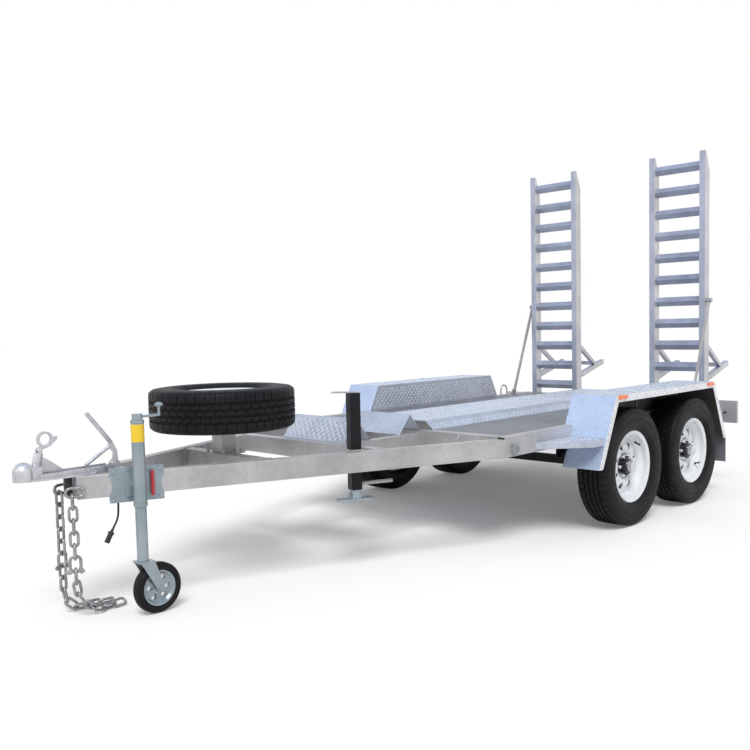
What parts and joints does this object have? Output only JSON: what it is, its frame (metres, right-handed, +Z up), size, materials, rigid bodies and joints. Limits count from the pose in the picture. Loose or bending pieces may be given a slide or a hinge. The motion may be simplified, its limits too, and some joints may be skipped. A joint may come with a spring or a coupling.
{
  "type": "tandem axle plant trailer",
  "caption": "Open flat-deck plant trailer on two axles, with upright loading ramps, V drawbar, spare wheel, jockey wheel, bucket rest and support leg.",
  "frame": {"origin": "centre of the overall footprint, on the ground", "axes": "-X is the coupling end, +X the ramps at the tail, +Y the right-hand side, +Z up"},
  "size_m": [4.844, 1.988, 2.242],
  "materials": {
    "galvanised_steel": "hot-dip galvanised steel with a faint spangle",
    "galvanised_tread": "galvanised tread plate, raised bars",
    "galvanised_plate": "dull galvanised flat plate",
    "flap_rubber": "grey rubber flap",
    "red_lens": "red lamp lens",
    "amber_lens": "amber lamp lens",
    "tyre_rubber": "black tyre rubber",
    "white_enamel": "white enamel",
    "black_paint": "satin black paint",
    "zinc_plate": "bright zinc plated or galvanised fittings",
    "black_rubber": "black rubber",
    "black_plastic": "black plastic",
    "red_plastic": "red dipped plastic"
  },
  "bodies": {
    "chassis": {"drawbar_left": "galvanised_steel", "drawbar_right": "galvanised_steel", "drawbar_crossmembers": "galvanised_steel", "bucket_rest_rails": "galvanised_steel", "bucket_rest": "galvanised_tread", "deck_rail_left": "galvanised_steel", "deck_rail_right": "galvanised_steel", "deck_crossmembers": "galvanised_steel", "deck_plate_left": "galvanised_plate", "deck_plate_right": "galvanised_plate", "deck_centre_ridge": "galvanised_tread", "mudguard_left": "galvanised_tread", "mudguard_right": "galvanised_tread", "mud_flaps": "flap_rubber", "steps": "galvanised_tread", "light_boards": "galvanised_steel", "tail_lamps": "red_lens", "marker_lamps": "amber_lens", "ramp_hinge_lugs": "galvanised_steel", "spare_carrier": "galvanised_steel", "spare_tyre": "tyre_rubber", "spare_rim": "white_enamel", "leaf_springs_left": "black_paint", "leaf_springs_right": "black_paint", "axle_front": "black_paint", "axle_rear": "black_paint", "coupling_body": "zinc_plate", "jockey_bracket": "zinc_plate", "support_sleeve": "galvanised_steel", "safety_chain_left": "zinc_plate", "safety_chain_right": "zinc_plate", "wiring_lead": "black_rubber", "lead_plug": "black_plastic", "tie_down_brackets": "galvanised_steel", "support_leg": "black_paint"},
    "wheel_front_left": {"tyre_front_left": "tyre_rubber", "rim_front_left": "white_enamel"},
    "wheel_front_right": {"tyre_front_right": "tyre_rubber", "rim_front_right": "white_enamel"},
    "wheel_rear_left": {"tyre_rear_left": "tyre_rubber", "rim_rear_left": "white_enamel"},
    "wheel_rear_right": {"tyre_rear_right": "tyre_rubber", "rim_rear_right": "white_enamel"},
    "ramp_left": {"ramp_left": "galvanised_steel"},
    "ramp_right": {"ramp_right": "galvanised_steel"},
    "strut_left": {"strut_left": "galvanised_steel"},
    "strut_right": {"strut_right": "galvanised_steel"},
    "jockey_mast": {"jockey_mast": "zinc_plate"},
    "jockey_leg": {"jockey_leg": "zinc_plate"},
    "jockey_crank": {"jockey_crank": "zinc_plate"},
    "jockey_fork": {"jockey_fork": "zinc_plate"},
    "jockey_wheel": {"jockey_tyre": "tyre_rubber", "jockey_rim": "zinc_plate"},
    "jockey_lock_handle": {"jockey_lock_handle": "red_plastic"},
    "support_foot": {"support_foot": "zinc_plate"},
    "coupling_latch": {"coupling_latch": "zinc_plate"},
    "handbrake_lever": {"handbrake_lever": "zinc_plate"},
    "tie_ring_left": {"tie_ring_left": "zinc_plate"},
    "tie_ring_right": {"tie_ring_right": "zinc_plate"}
  },
  "joints": [
    {"name": "wheel_front_left_spin", "type": "hinge", "parent": "chassis", "child": "wheel_front_left", "pos_m": [0.511, -0.878, 0.322], "axis": [0, 1, 0], "continuous": true},
    {"name": "wheel_front_right_spin", "type": "hinge", "parent": "chassis", "child": "wheel_front_right", "pos_m": [0.511, 0.878, 0.322], "axis": [0, 1, 0], "continuous": true},
    {"name": "wheel_rear_left_spin", "type": "hinge", "parent": "chassis", "child": "wheel_rear_left", "pos_m": [1.259, -0.878, 0.322], "axis": [0, 1, 0], "continuous": true},
    {"name": "wheel_rear_right_spin", "type": "hinge", "parent": "chassis", "child": "wheel_rear_right", "pos_m": [1.259, 0.878, 0.322], "axis": [0, 1, 0], "continuous": true},
    {"name": "ramp_left_hinge", "type": "hinge", "parent": "chassis", "child": "ramp_left", "pos_m": [2.043, -0.497, 0.52], "axis": [0, 1, 0], "range_deg": [0, 106]},
    {"name": "strut_left_hinge", "type": "hinge", "parent": "chassis", "child": "strut_left", "pos_m": [1.784, -0.714, 0.594], "axis": [0, -1, 0], "range_deg": [0, 104]},
    {"name": "ramp_right_hinge", "type": "hinge", "parent": "chassis", "child": "ramp_right", "pos_m": [2.043, 0.497, 0.52], "axis": [0, 1, 0], "range_deg": [0, 106]},
    {"name": "strut_right_hinge", "type": "hinge", "parent": "chassis", "child": "strut_right", "pos_m": [1.784, 0.714, 0.594], "axis": [0, -1, 0], "range_deg": [0, 104]},
    {"name": "jockey_swing", "type": "hinge", "parent": "chassis", "child": "jockey_mast", "pos_m": [-2.025, -0.211, 0.511], "axis": [-0.3701, -0.929, 0], "range_deg": [0, 90]},
    {"name": "jockey_raise", "type": "slide", "parent": "jockey_mast", "child": "jockey_leg", "axis": [0, 0, 1], "range_m": [0, 0.19]},
    {"name": "jockey_crank_turn", "type": "hinge", "parent": "jockey_mast", "child": "jockey_crank", "pos_m": [-2.025, -0.211, 0.78], "axis": [0, 0, 1], "continuous": true},
    {"name": "jockey_swivel", "type": "hinge", "parent": "jockey_leg", "child": "jockey_fork", "pos_m": [-2.025, -0.211, 0.218], "axis": [0, 0, 1], "continuous": true},
    {"name": "jockey_wheel_spin", "type": "hinge", "parent": "jockey_fork", "child": "jockey_wheel", "pos_m": [-1.967, -0.211, 0.1], "axis": [0, 1, 0], "continuous": true},
    {"name": "jockey_lock_pull", "type": "slide", "parent": "chassis", "child": "jockey_lock_handle", "axis": [-0.3701, -0.929, 0], "range_m": [0, 0.008], "stiffness_N_per_m": 900, "springref_m": -0.01},
    {"name": "support_foot_drop", "type": "slide", "parent": "chassis", "child": "support_foot", "axis": [0, 0, 1], "range_m": [-0.33, 0]},
    {"name": "coupling_latch_lift", "type": "hinge", "parent": "chassis", "child": "coupling_latch", "pos_m": [-2.319, 0, 0.669], "axis": [0, 1, 0], "range_deg": [0, 25], "stiffness_Nm_per_rad": 3, "springref_deg": -20.05},
    {"name": "handbrake_pull", "type": "hinge", "parent": "chassis", "child": "handbrake_lever", "pos_m": [-2.012, 0, 0.58], "axis": [0, 1, 0], "range_deg": [0, 35]},
    {"name": "tie_ring_left_swing", "type": "hinge", "parent": "chassis", "child": "tie_ring_left", "pos_m": [-0.329, -0.7815, 0.52], "axis": [-1, 0, 0], "range_deg": [0, 80]},
    {"name": "tie_ring_right_swing", "type": "hinge", "parent": "chassis", "child": "tie_ring_right", "pos_m": [-0.329, 0.7815, 0.52], "axis": [1, 0, 0], "range_deg": [0, 80]}
  ]
}
